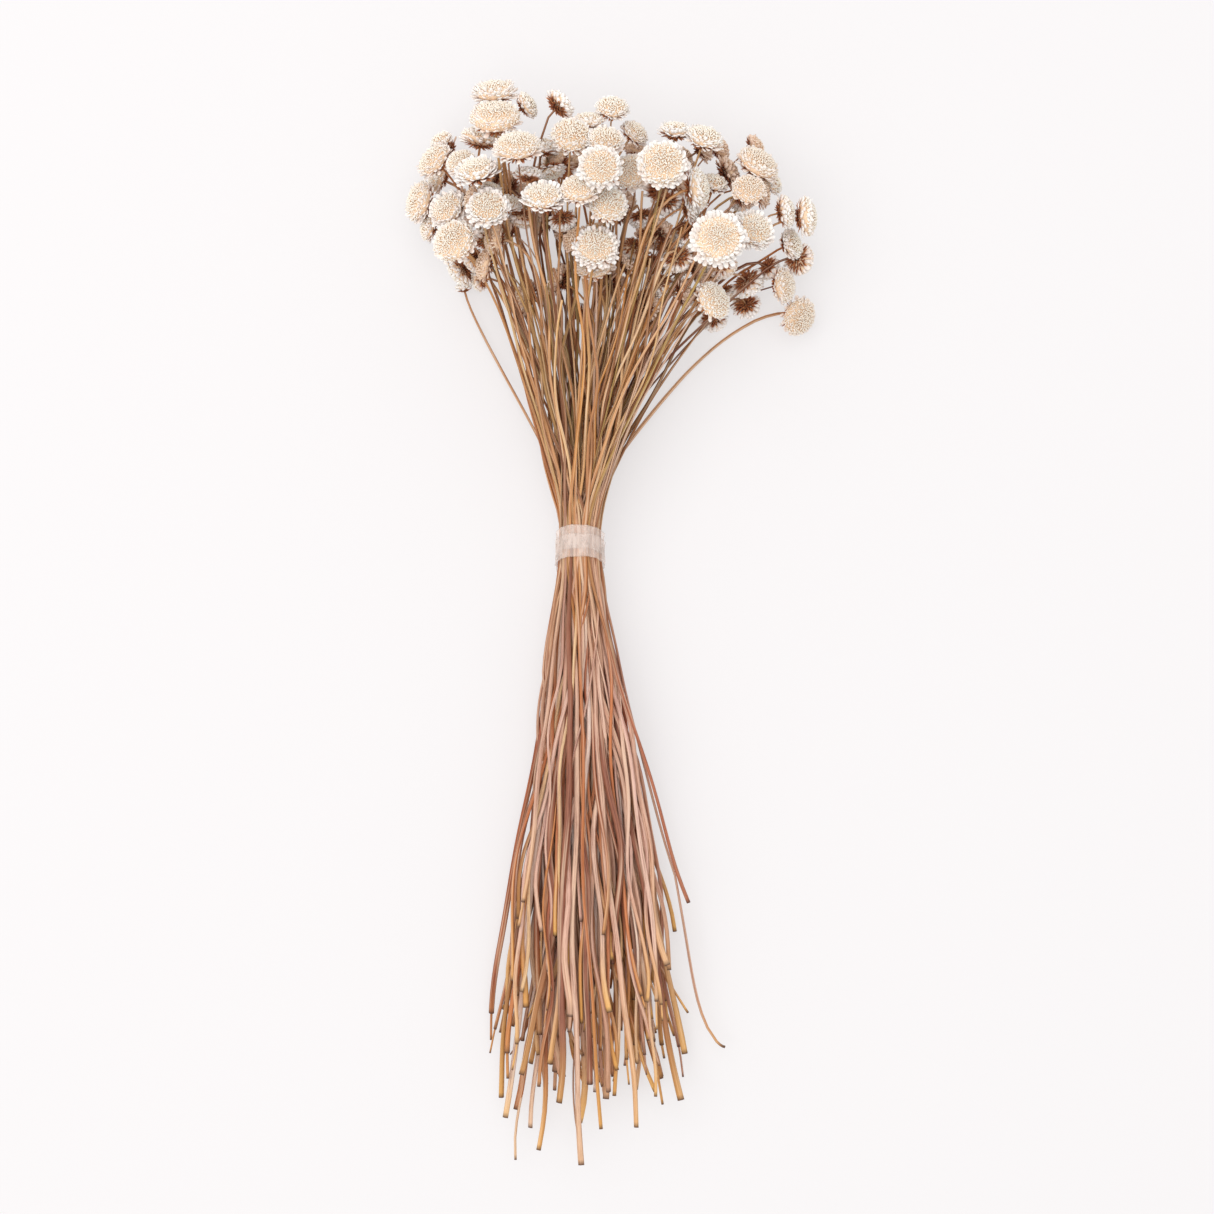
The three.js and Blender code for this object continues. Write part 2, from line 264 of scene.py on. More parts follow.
# %% Move the added flowers clear of their neighbours
# A flower is a lens: as wide as its radius, and half as deep. Only the added ones move, and
# mostly up and down, so that the layout seen from above keeps its shape.
LENS_DEPTH = 0.5
PRESSED = 0.84  # papery bracts give where two flowers meet
SIDEWAYS = 0.3
SPREAD_ROUNDS = 120
centres = np.array([f["centre"] for f in flowers])
facings = np.array([f["facing"] for f in flowers])
radii = np.array([f["radius"] for f in flowers])
added = np.array(["nodes" not in f for f in flowers])
others = 1 - np.eye(len(flowers))


def lens_reach(way):
    """How far each first flower of a pair reaches towards the second."""
    turned = np.einsum("ik,ijk->ij", facings, way)
    return radii[:, None] * np.sqrt(1 - (1 - LENS_DEPTH**2) * turned**2)


hang = radii * (np.hypot(facings[:, 0], facings[:, 1]) + 0.45 * np.abs(facings[:, 2]))
for _ in range(SPREAD_ROUNDS):
    apart = centres[:, None] - centres[None]
    gap = np.linalg.norm(apart, axis=2) + 1 - others
    way = apart / gap[..., None]
    need = PRESSED * (lens_reach(way) + lens_reach(-way).T)
    short = np.maximum(need - gap, 0) * others
    share = added[:, None] / np.maximum(added[:, None] + added[None], 1)
    push = (way * (short * share)[..., None]).sum(axis=1) * [SIDEWAYS, SIDEWAYS, 1]
    centres += 0.5 * push
    inside = np.clip(centres[:, :2], low[:2] + radii[:, None] * 0.6, high[:2] - radii[:, None] * 0.6)
    centres[added, :2] = inside[added]
    centres[added, 2] = np.clip(centres[:, 2], hang, high[2] - 0.8 * hang)[added]
for flower, centre in zip(flowers, centres):
    flower["centre"] = centre
print("pairs closer than they should be", int((short > 1 * MM).sum() / 2))

# %% [markdown]
# ## Routes of the stems
# A stem leaves its flower square to its back, bends towards the tie, runs through it and fans
# out to its cut end. The framed stems have their routes already. The others get theirs as two
# Bezier stretches. Every stem then gets a slow sway of its own, because nothing in a dried
# bunch is straight, and all are settled against each other: the bunch is cut into thin slices
# across the stems, each stem is a disc in each slice, and discs that overlap are pushed apart.
# A hand that closes on real stems does the same. The framed stems hardly give.

# %% Curves through points
BACK = 0.42  # from a flower's middle to its back, as a share of its radius
NECK_HANDLE = 24 * MM
FAN = 0.24  # the steepest that a stem leaves the tie


def bezier(a, b, c, d, count):
    """Points on the curve from a to d that b and c pull."""
    t = np.linspace(0, 1, count)[:, None]
    return (1 - t) ** 3 * a + 3 * (1 - t) ** 2 * t * b + 3 * (1 - t) * t**2 * c + t**3 * d


def through(points, count):
    """A smooth curve through points, cut into count even steps."""
    steps = np.linalg.norm(np.diff(points, axis=0), axis=1)
    at = np.concatenate([[0], np.cumsum(steps)])
    slope = np.gradient(points, at, axis=0)
    t = np.linspace(0, at[-1], count)
    k = np.clip(np.searchsorted(at, t, side="right") - 1, 0, len(points) - 2)
    h = (at[k + 1] - at[k])[:, None]
    s = ((t - at[k]) / h[:, 0])[:, None]
    return (
        (2 * s**3 - 3 * s**2 + 1) * points[k]
        + (s**3 - 2 * s**2 + s) * h * slope[k]
        + (3 * s**2 - 2 * s**3) * points[k + 1]
        + (s**3 - s**2) * h * slope[k + 1]
    )


# %% Cut ends of the added stems
# Shares of the tail's half spread and of the tail. The listed ones show between the framed
# ends. The rest are short ones, hidden in the tail.
CUT_ENDS = [
    [-0.44, 0.92], [-0.41, 1.00], [-0.27, 0.85], [-0.31, 0.85], [-0.22, 0.84], [-0.38, 0.83],
    [-0.53, 0.83], [-0.43, 0.81], [-0.39, 0.75], [-0.01, 0.87], [0.03, 0.94], [0.16, 0.88],
    [0.24, 0.87], [0.11, 0.82], [0.15, 0.77], [0.26, 0.71], [0.33, 0.84], [0.37, 0.89],
    [0.54, 0.81], [0.51, 0.84], [0.52, 0.74], [0.52, 0.65], [0.60, 0.77], [0.59, 0.69],
    [0.63, 0.89], [0.77, 0.87], [0.34, 0.77],
]
tail_spread = max(abs(f["route"][0][0] - tie[0]) for f in flowers[:FRAMED])
draw = np.random.default_rng(7)
ends = list(CUT_ENDS)
while len(ends) < len(flowers) - FRAMED:
    ends.append([draw.uniform(-0.5, 0.64), draw.uniform(0.62, 0.9)])
ends = np.array(ends)
# Ends go to stems from left to right, but loosely, so that stems cross here and there.
by_side = np.argsort(ends[:, 0] + draw.normal(0, 0.3, len(ends)))
by_flower = np.argsort(centres[FRAMED:, 0] / spread + draw.normal(0, 0.25, len(ends)))
for end, k in zip(ends[by_side], by_flower):
    cut = np.array([tie[0] + end[0] * tail_spread, tie[1] - end[1] * tail])
    flowers[FRAMED + k]["cut"] = cut
print("tail spreads", round(tail_spread / MM), "mm to one side,", len(ends), "added ends")

# %% Routes before settling
DENSE = 240
TIE_HALF = (tie_high - tie_low) / 2
TIE_HOLD = 7.5 * MM  # the tape presses on the stems this far each way from its middle
TAIL_HEIGHT = 24 * MM
SLOT_SHARE = 0.62  # stems start out within this share of the tie's width and height
SIDE_MIX = 44 * MM  # how loosely a stem's place in the tie follows its flower's, across
HEIGHT_MIX = 10 * MM  # and up
SWAY_FRAMED = 1.1 * MM
SWAY_ADDED = 3.4 * MM


def ranks(values):
    """Each value's place in the order of all of them, from -1 to 1."""
    return 2 * (np.argsort(np.argsort(values)) + 0.5) / len(values) - 1


def swayed(dense, amount):
    """The route with two slow waves across and two up. The tie and the flower hold it still."""
    from_tie = np.abs(dense[:, 1] - tie[1]) - TIE_HOLD
    from_flower = np.linalg.norm(dense - dense[-1], axis=1)
    free = np.clip(from_tie / (50 * MM), 0, 1) * np.clip(from_flower / (45 * MM), 0, 1)
    for axis, share in ((0, 1.0), (2, 0.6)):
        for wave in (draw.uniform(110, 190), draw.uniform(45, 80)):
            phase = draw.uniform(0, 2 * math.pi)
            size = share * amount * draw.uniform(0.4, 1) * wave / 130
            dense[:, axis] += free * size * np.sin(2 * math.pi * dense[:, 1] / (wave * MM) + phase)
    return dense


side = ranks(centres[:, 0] + draw.normal(0, SIDE_MIX, len(flowers)))
height = ranks(centres[:, 2] + draw.normal(0, HEIGHT_MIX, len(flowers)))
for k, flower in enumerate(flowers):
    neck = flower["centre"] - flower["facing"] * BACK * flower["radius"]
    if "route" in flower:
        flower["dense"] = swayed(through(flower["route"], DENSE), SWAY_FRAMED)
        continue
    slot = np.array([side[k] * SLOT_SHARE * TIE_HALF[0], 0, height[k] * SLOT_SHARE * TIE_HALF[2]])
    top = tie + slot + np.array([0, TIE_HOLD, 0])
    bottom = tie + slot - np.array([0, TIE_HOLD, 0])
    leave = (neck - top) / (neck[1] - top[1])
    leave[[0, 2]] = np.clip(leave[[0, 2]], -FAN, FAN)
    far = (neck[1] - top[1]) * draw.uniform(0.38, 0.52)
    above = bezier(top, top + leave * far, neck - flower["facing"] * NECK_HANDLE, neck, DENSE // 2)
    cut = np.append(flower["cut"], 1.3 * MM + draw.random() ** 1.3 * TAIL_HEIGHT)
    fall = (cut - bottom) / 3
    below = bezier(cut, cut - fall, bottom + fall * 0.9, bottom, DENSE // 2)
    flower["dense"] = swayed(np.vstack([below, above]), SWAY_ADDED)
print("routes for", len(flowers), "stems")

# %% How thick each stem is
CUT_RADIUS = (0.6 * MM, 1.3 * MM)
TIED_RADIUS = (0.56 * MM, 0.72 * MM)
NECK_RADIUS = (0.38 * MM, 0.54 * MM)
for flower in flowers:
    flower["widths"] = [draw.uniform(*CUT_RADIUS), draw.uniform(*TIED_RADIUS), draw.uniform(*NECK_RADIUS)]
    flower["dense"][:, 2] = np.maximum(flower["dense"][:, 2], flower["widths"][0])
print("cut ends", CUT_RADIUS[0] * 2 / MM, "to", CUT_RADIUS[1] * 2 / MM, "mm thick")

# %% Settle the stems slice by slice
SLICE = 5 * MM
NECK_FREE = 15 * MM  # this much of a stem, next to its flower, keeps its route
SETTLE_ROUNDS = 90
GIVE = 0.2  # how far a framed stem gives way to an added one
PACKED = 0.9  # flattened stems lie closer than round ones
slices = np.arange(low[1], high[1], SLICE)
count = len(flowers)
across = np.zeros((count, len(slices)))
upward = np.zeros((count, len(slices)))
present = np.zeros((count, len(slices)), bool)
thickness = np.zeros((count, len(slices)))
for k, flower in enumerate(flowers):
    dense = flower["dense"]
    turns_back = np.where(np.diff(dense[:, 1]) <= 0)[0]
    last = turns_back[0] if len(turns_back) else DENSE - 1
    flower["stop"] = min(dense[last, 1], dense[-1, 1] - NECK_FREE * abs(flower["facing"][1]) - 6 * MM)
    across[k] = np.interp(slices, dense[: last + 1, 1], dense[: last + 1, 0])
    upward[k] = np.interp(slices, dense[: last + 1, 1], dense[: last + 1, 2])
    present[k] = (slices > dense[0, 1]) & (slices < flower["stop"])
    thickness[k] = np.interp(slices, [dense[0, 1], tie[1], dense[-1, 1]], flower["widths"])
placed = np.stack([across, upward])
weight = np.where(added, 1.0, GIVE)[:, None, None]
give = weight / (weight + weight.transpose(1, 0, 2))
pair = present[:, None] & present[None] & (others[..., None] > 0)
room = PACKED * (thickness[:, None] + thickness[None])
in_tie = np.abs(slices - tie[1]) < TIE_HOLD
hole = np.array([TIE_HALF[0] - 1.6 * MM, TIE_HALF[2] - 2.2 * MM])
# A flower is an obstacle where a slice cuts the ball inside it.
from_middle = (slices[None] - centres[:, 1:2]) ** 2
ball = np.sqrt(np.maximum((0.8 * radii[:, None]) ** 2 - from_middle, 0))
block = present[:, None] & (ball[None] > 0) & (others[..., None] > 0) & added[:, None, None]


def pushed_clear(need, beside, over, wanted, share):
    """How far discs move, given how far apart they should be and how far apart they are."""
    gap = np.hypot(beside, over) + 1e-9
    short = np.where(wanted, np.maximum(need - gap, 0), 0) * share
    return np.stack([(short * beside / gap).sum(axis=1), (short * over / gap).sum(axis=1)])


def evened(moved):
    """Shares a push with the slices on either side, which keeps a stem smooth."""
    padded = np.pad(moved, ((0, 0), (0, 0), (1, 1)), mode="edge")
    return moved + 0.3 * (padded[..., :-2] + padded[..., 2:] - 2 * moved)


path = placed.copy()
for _ in range(SETTLE_ROUNDS):
    beside, over = path[:, :, None] - path[:, None]
    path += pushed_clear(room, beside, over, pair, give * 0.7)
    beside, over = path[0][:, None] - centres[None, :, 0:1], path[1][:, None] - centres[None, :, 2:3]
    path += pushed_clear(ball[None] + thickness[:, None], beside, over, block, 0.5)
    path = placed + evened(path - placed)
    from_tie = path - tie[[0, 2], None, None]
    out = np.hypot(from_tie[0] / (hole[0] - thickness), from_tie[1] / (hole[1] - thickness))
    path = tie[[0, 2], None, None] + from_tie / np.where(in_tie, np.maximum(out, 1), 1)
    path[1] = np.maximum(path[1], thickness)
beside, over = path[:, :, None] - path[:, None]
left_over = np.where(pair, room - np.hypot(beside, over), 0)
tight = int((left_over > 0.3 * MM).sum() / 2)
print("deepest overlap left", round(left_over.max() / MM, 2), "mm, over 0.3 mm in", tight, "places")

# %% [markdown]
# ## Helpers for node trees
# Geometry trees and material trees are built the same way, so one small function adds a node
# of either kind, sets it up and links it. Colours are chosen as they look on a screen, and
# one function turns them into the linear values that Blender's sockets take.


# %% Add a node, and a colour
def add(tree, kind, inputs=None, **settings):
    """Adds a node with its settings and links. Gives its first output that is in use."""
    node = tree.nodes.new(kind)
    for name, value in settings.items():
        setattr(node, name, value)
    for key, value in (inputs or {}).items():
        if isinstance(value, bpy.types.NodeSocket):
            tree.links.new(value, node.inputs[key])
        else:
            node.inputs[key].default_value = value
    return next((s for s in node.outputs if s.enabled), node)


def linear(code):
    """An sRGB hex colour as linear red, green, blue and alpha."""
    parts = [int(code[k : k + 2], 16) / 255 for k in (1, 3, 5)]
    return [c / 12.92 if c <= 0.04045 else ((c + 0.055) / 1.055) ** 2.4 for c in parts] + [1.0]


def material(name):
    """A new material, its tree and its Principled shader."""
    made = bpy.data.materials.new(name)
    made.use_nodes = True
    return made, made.node_tree, made.node_tree.nodes["Principled BSDF"]


# %% [markdown]
# ## Dry papery finishes
# Everything on the flower is dead, dry tissue: no gloss, a fine grain, and a colour that is
# pale at the tips, bleached by light and air, and brown at the foot. That brown foot is partly
# the tissue's own colour and partly painted shade, where the shapes crowd and hide each other.
# So each small shape carries two numbers: `tip`, which runs from 0 at its foot to 1 at its end,
# and `tone`, a random number of its own. The materials mix their colours by those two, and by
# one number for a whole flower, how withered it is: at random on an open flower, and in full on
# a shaded one, where the browner tips are painted shade.

# %% One recipe for the three papery finishes
GRAIN = 0.22 * MM  # the fibres of dry tissue, drawn a little coarser than they are, so that they show


def papery(name, foot, young, old_and_shaded, tip_from, tip_to, roughness):
    """A dry finish: a foot colour, partly painted shade, and a young and a withered pair of tip colours; on
    shaded flowers the withered pair is painted shade.
    """
    made, tree, shader = material(name)
    tip = add(tree, "ShaderNodeAttribute", attribute_name="tip").node.outputs["Fac"]
    tone = add(tree, "ShaderNodeAttribute", attribute_name="tone").node.outputs["Fac"]
    age = add(tree, "ShaderNodeAttribute", attribute_name="age").node.outputs["Fac"]
    new_tip, old_and_shaded_tip = (
        add(tree, "ShaderNodeMix", {0: tone, 6: linear(dull), 7: linear(bright)}, data_type="RGBA")
        for dull, bright in (young, old_and_shaded)
    )
    # The withered tip colours are real on open flowers and painted shade on the shaded ones.
    end = add(tree, "ShaderNodeMix", {0: age, 6: new_tip, 7: old_and_shaded_tip}, data_type="RGBA")
    rise = add(tree, "ShaderNodeMapRange", {0: tip, 1: tip_from, 2: tip_to}, interpolation_type="SMOOTHSTEP")
    colour = add(tree, "ShaderNodeMix", {0: rise, 6: linear(foot), 7: end}, data_type="RGBA")
    tree.links.new(colour, shader.inputs["Base Color"])
    shader.inputs["Roughness"].default_value = roughness
    shader.inputs["Specular IOR Level"].default_value = 0.25
    place = add(tree, "ShaderNodeTexCoord").node.outputs["Object"]
    grain = add(tree, "ShaderNodeTexNoise", {"Vector": place, "Scale": 1 / GRAIN, "Detail": 2.0})
    bump = add(tree, "ShaderNodeBump", {"Height": grain, "Strength": 0.4, "Distance": 0.08 * MM})
    tree.links.new(bump, shader.inputs["Normal"])
    return made


# Each foot colour is partly the shape's own colour and partly painted shade where florets and bracts crowd
# together.
floret_paper = papery("dried_disc_florets", "#f0d3b4", ("#fff5e5", "#fffef8"),
                      ("#e8ccb2", "#f8e6d4"), 0.3, 0.75, 0.95)
bract_paper = papery("white_papery_bracts", "#d8b099", ("#fef4ee", "#fffefc"),
                     ("#e8cbb6", "#f5e0d0"), 0.15, 0.65, 0.8)
calyx_paper = papery("brown_calyx_bracts", "#6c3a2a", ("#9a5536", "#d9925f"),
                     ("#7d4530", "#b3704a"), 0.1, 0.9, 0.85)
print("finishes", [m.name for m in (floret_paper, bract_paper, calyx_paper)])

# %% [markdown]
# ## The small shapes of a flower
# A flower is hundreds of copies of three shapes. Each is a thin closed body of a few dozen
# faces, one unit long, standing on its foot: a floret that widens towards a lobed tip, a
# spoon-shaped bract that cups upwards, and a pointed bract for the underside. `tip` is stored
# on their points here, so that every copy brings it along.


# %% Shapes from rings
def small_shape(name, levels, sides, outline):
    """A closed body of rings. outline(level, angle) gives each ring point its x, y and z."""
    mesh = bpy.data.meshes.new(name)
    form = bmesh.new()
    tips = form.verts.layers.float.new("tip")
    loops = []
    for level in levels:
        loop = []
        for k in range(sides):
            vert = form.verts.new(outline(level, 2 * math.pi * k / sides))
            vert[tips] = level
            loop.append(vert)
        loops.append(loop)
    for lower, upper in zip(loops, loops[1:]):
        for k in range(sides):
            form.faces.new([lower[k], lower[(k + 1) % sides], upper[(k + 1) % sides], upper[k]])
    form.faces.new(loops[0][::-1])
    form.faces.new(loops[-1])
    bmesh.ops.recalc_face_normals(form, faces=form.faces)
    form.to_mesh(mesh)
    form.free()
    shape = bpy.data.objects.new(name, mesh)
    bpy.context.scene.collection.objects.link(shape)
    return shape


def floret_outline(level, angle):
    """A bud that stands along +Z, one unit wide near its tip."""
    wide = np.interp(level, [0.3, 0.75, 1], [0.34, 0.5, 0.2])
    return wide * math.cos(angle), wide * math.sin(angle), level


def bract_outline(level, angle):
    """A spoon that lies along +X, one unit wide, with a round tip that cups towards +Z."""
    wide = np.interp(level, [0, 0.4, 0.7, 0.9, 1], [0.2, 0.36, 0.52, 0.46, 0.22])
    y = wide * math.cos(angle)
    lift = 0.9 * y * y - 0.25 * level + 0.55 * level**3
    return level, y, lift + 0.12 * math.sin(angle)


def scale_outline(level, angle):
    """A pointed bract that lies along +X, one unit wide, and bends a little towards +Z."""
    wide = np.interp(level, [0, 0.4, 0.8, 1], [0.45, 0.5, 0.28, 0.04])
    return level, wide * math.cos(angle), 0.4 * wide * math.sin(angle) + 0.4 * level * level


floret_shape = small_shape("floret_shape", [0.3, 0.75, 1], 4, floret_outline)
bract_shape = small_shape("bract_shape", [0, 0.4, 0.7, 0.9, 1], 6, bract_outline)
scale_shape = small_shape("scale_shape", [0, 0.4, 0.8, 1], 4, scale_outline)
for shape in (floret_shape, bract_shape, scale_shape):
    print(shape.name, len(shape.data.polygons), "faces")

# %% [markdown]
# ## One flower, grown by rule
# A daisy's florets stand on a golden-angle spiral: each is turned 137.5 degrees from the last
# and lies farther out, so that they fill the disc evenly. A Geometry Nodes tree is the right
# tool, because it can work out thousands of such places from a few named sizes, and another
# seed gives another flower. The same spiral, run along the rim and along the underside, sets
# the white bracts and the brown ones.

# %% The tree's inputs
GOLDEN_ANGLE = math.pi * (3 - math.sqrt(5))
HEAD_SIZES = [
    ("Radius", "NodeSocketFloat"),
    ("Disc Radius", "NodeSocketFloat"),
    ("Dome Height", "NodeSocketFloat"),
    ("Florets", "NodeSocketInt"),
    ("Floret Length", "NodeSocketFloat"),
    ("Floret Width", "NodeSocketFloat"),
    ("Bracts", "NodeSocketInt"),
    ("Bract Width", "NodeSocketFloat"),
    ("Bract Lift", "NodeSocketFloat"),
    ("Scales", "NodeSocketInt"),
    ("Age", "NodeSocketFloat"),
    ("Seed", "NodeSocketInt"),
    ("Floret", "NodeSocketObject"),
    ("Bract", "NodeSocketObject"),
    ("Scale", "NodeSocketObject"),
]
grow = bpy.data.node_groups.new("grow_a_flower", "GeometryNodeTree")
sockets = {name: grow.interface.new_socket(name=name, in_out="INPUT", socket_type=kind).identifier
           for name, kind in HEAD_SIZES}
grow.interface.new_socket(name="Geometry", in_out="OUTPUT", socket_type="NodeSocketGeometry")
given = grow.nodes.new("NodeGroupInput").outputs
print("inputs", list(sockets))


# %% Places on a spiral
def maths(tree, operation, a, b=0.0, c=0.0):
    """One sum on numbers or sockets."""
    return add(tree, "ShaderNodeMath", {0: a, 1: b, 2: c}, operation=operation)


def between(tree, seed, lowest, highest):
    """A random number, or a random vector, for each point."""
    kind, first = ("FLOAT_VECTOR", 0) if isinstance(lowest, tuple) else ("FLOAT", 2)
    limits = {"Seed": seed, first: lowest, first + 1: highest}
    return add(tree, "FunctionNodeRandomValue", limits, data_type=kind)


def spiral(tree, count, first_seed, wobble):
    """Points along a golden spiral: their geometry, angle, share of the way and seed."""
    points = add(tree, "GeometryNodePoints", {"Count": count})
    index = add(tree, "GeometryNodeInputIndex")
    seed = maths(tree, "ADD", given["Seed"], first_seed)
    turned = maths(tree, "MULTIPLY", index, GOLDEN_ANGLE)
    angle = maths(tree, "ADD", turned, between(tree, seed, -wobble, wobble))
    share = maths(tree, "DIVIDE", maths(tree, "ADD", index, 0.5), count)
    return points, angle, share, seed


def set_out(tree, points, out, up, angle):
    """Moves each point out from the flower's axis, up along it and round it."""
    flat = add(tree, "ShaderNodeCombineXYZ", {0: out, 2: up})
    place = add(tree, "ShaderNodeVectorRotate", {"Vector": flat, "Angle": angle}, rotation_type="Z_AXIS")
    return add(tree, "GeometryNodeSetPosition", {"Geometry": points, "Position": place})


def copies(tree, points, shape, turn, scale, seed, finish):
    """Puts a shape on each point, gives each copy a tone, and makes them real."""
    shown = add(tree, "GeometryNodeObjectInfo", {"Object": shape}).node.outputs["Geometry"]
    placed_copies = add(tree, "GeometryNodeInstanceOnPoints",
                        {"Points": points, "Instance": shown, "Rotation": turn, "Scale": scale})
    tone = between(tree, maths(tree, "ADD", seed, 31.0), 0.0, 1.0)
    toned = add(tree, "GeometryNodeStoreNamedAttribute",
                {"Geometry": placed_copies, "Name": "tone", "Value": tone},
                data_type="FLOAT", domain="INSTANCE")
    real_copies = add(tree, "GeometryNodeRealizeInstances", {"Geometry": toned})
    return add(tree, "GeometryNodeSetMaterial", {"Geometry": real_copies, "Material": finish})


# %% The disc of florets
def disc(tree):
    """Florets on a dome, upright in the middle and leaning out at the rim."""
    points, angle, share, seed = spiral(tree, given["Florets"], 0, 0.12)
    out_share = maths(tree, "POWER", share, 0.5)
    drop = maths(tree, "POWER", out_share, 2.4)
    out = maths(tree, "MULTIPLY", out_share, given["Disc Radius"])
    up = maths(tree, "MULTIPLY", maths(tree, "SUBTRACT", 1.0, drop), given["Dome Height"])
    moved = set_out(tree, points, out, up, angle)
    lean = maths(tree, "MULTIPLY", drop, 1.3)
    tilted = add(tree, "ShaderNodeCombineXYZ", {0: lean, 2: 1.0})
    looking = add(tree, "ShaderNodeVectorRotate", {"Vector": tilted, "Angle": angle}, rotation_type="Z_AXIS")
    waver = between(tree, maths(tree, "ADD", seed, 3.0), (-0.35, -0.35, -0.1), (0.35, 0.35, 0.1))
    way = add(tree, "ShaderNodeVectorMath", {0: looking, 1: waver}, operation="ADD")
    turn = add(tree, "FunctionNodeAlignRotationToVector", {"Vector": way}, axis="Z")
    tall = maths(tree, "MULTIPLY", between(tree, seed, 0.7, 1.25), given["Floret Length"])
    slim = between(tree, maths(tree, "ADD", seed, 5.0), 0.8, 1.15)
    wide = maths(tree, "MULTIPLY", slim, given["Floret Width"])
    scale = add(tree, "ShaderNodeCombineXYZ", {0: wide, 1: wide, 2: tall})
    return copies(tree, moved, given["Floret"], turn, scale, seed, floret_paper)


# %% Bracts along a cone
def cone_of_bracts(tree, names, first_seed, sizes, shake, finish):
    """Bracts on a spiral from the first to the last of each pair of sizes."""
    count, shape, lift = names
    points, angle, share, seed = spiral(tree, given[count], first_seed, 0.08)
    ranged = {}
    for name, (first, last) in sizes.items():
        ranged[name] = add(tree, "ShaderNodeMapRange", {0: share, 3: first, 4: last})
    out = maths(tree, "MULTIPLY", ranged["out"], given["Radius"])
    up = maths(tree, "MULTIPLY", ranged["up"], given["Radius"])
    moved = set_out(tree, points, out, up, angle)
    pitch = maths(tree, "SUBTRACT", 0.0, maths(tree, "ADD", ranged["pitch"], lift))
    euler = add(tree, "ShaderNodeCombineXYZ", {1: pitch, 2: angle})
    shaken = add(tree, "ShaderNodeVectorMath",
                 {0: euler, 1: between(tree, seed, tuple(-v for v in shake), shake)}, operation="ADD")
    turn = add(tree, "FunctionNodeEulerToRotation", {0: shaken})
    length = maths(tree, "MULTIPLY", ranged["length"], given["Radius"])
    length = maths(tree, "MULTIPLY", length, between(tree, maths(tree, "ADD", seed, 7.0), 0.82, 1.12))
    wide = maths(tree, "MULTIPLY", ranged["width"], given["Bract Width"])
    scale = add(tree, "ShaderNodeCombineXYZ", {0: length, 1: wide, 2: wide})
    return copies(tree, moved, given[shape], turn, scale, seed, finish)


def rim(tree):
    """White bracts in overlapping rows: long and flat below, short and lifted on top."""
    sizes = {"out": (0.48, 0.58), "up": (-0.26, 0.08), "pitch": (-0.1, 0.75),
             "length": (0.54, 0.34), "width": (1.0, 0.85)}
    names = ("Bracts", "Bract", given["Bract Lift"])
    return cone_of_bracts(tree, names, 100, sizes, (0.4, 0.25, 0.15), bract_paper)


def tuft(tree):
    """Brown pointed bracts from the neck out to the rim."""
    sizes = {"out": (0.05, 0.5), "up": (-0.36, -0.22), "pitch": (-0.75, -0.1),
             "length": (0.32, 0.44), "width": (0.46, 0.58)}
    return cone_of_bracts(tree, ("Scales", "Scale", 0.0), 200, sizes, (0.4, 0.25, 0.3), calyx_paper)


# %% The body that they all grow from, and the whole flower
def body(tree):
    """A closed lens under the florets, so that no gap shows daylight."""
    ball = add(tree, "GeometryNodeMeshUVSphere", {"Segments": 24, "Rings": 12, "Radius": 1.0})
    shape = add(tree, "ShaderNodeCombineXYZ",
                {0: given["Disc Radius"], 1: given["Disc Radius"], 2: given["Dome Height"]})
    sized_ball = add(tree, "GeometryNodeTransform", {"Geometry": ball, "Scale": shape})
    # With no tip values the body takes the foot colour, which between the florets is partly painted shade.
    return add(tree, "GeometryNodeSetMaterial", {"Geometry": sized_ball, "Material": floret_paper})


branches = add(grow, "GeometryNodeJoinGeometry")
for branch in (body(grow), disc(grow), rim(grow), tuft(grow)):
    grow.links.new(branch, branches.node.inputs[0])
# Stores each flower's tip-browning value: real withering on open flowers, painted shade on the shaded ones.
browned = add(grow, "GeometryNodeStoreNamedAttribute",
           {"Geometry": branches, "Name": "age", "Value": given["Age"]}, data_type="FLOAT", domain="POINT")
grow.links.new(browned, grow.nodes.new("NodeGroupOutput").inputs[0])
print(len(grow.nodes), "nodes grow a flower")


# %% Press a mesh from a tree
def run_tree(tree, values, mesh=None):
    """Runs a geometry tree on a mesh and gives the result as a plain mesh."""
    carrier = bpy.data.objects.new("carrier", mesh or bpy.data.meshes.new("carrier"))
    bpy.context.scene.collection.objects.link(carrier)
    modifier = carrier.modifiers.new("tree", "NODES")
    modifier.node_group = tree
    for name, value in values.items():
        modifier[name] = value
    graph = bpy.context.evaluated_depsgraph_get()
    made = bpy.data.meshes.new_from_object(carrier.evaluated_get(graph), depsgraph=graph)
    bpy.data.objects.remove(carrier)
    return made


def piece(name, mesh, replaced=()):
    """Links a finished mesh as a piece of the bunch."""
    mesh.name = name
    made = bpy.data.objects.new(name, mesh)
    bpy.context.scene.collection.objects.link(made)
    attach(made, "root")
    if replaced:
        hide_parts(*replaced)
    return made


# %% [markdown]
# ## No two flowers alike
# Some flowers are open, with a clean disc in a crisp white ring. Others are old and fluffy,
# with florets that hide most of the ring. A shaded flower, deep in the bunch, needs fewer and
# coarser florets, and its tips are painted browner as painted shade. The looks are drawn from
# one seeded generator.

# %% Grow the flowers
FLORET_PITCH = 0.58 * MM
PLAIN_PITCH = 1.7  # how much farther apart florets stand on a shaded flower
FLORET_FILL = 4.4  # florets on a dome of one pitch in radius; a flat disc would hold 3.6
looks = np.random.default_rng(19)


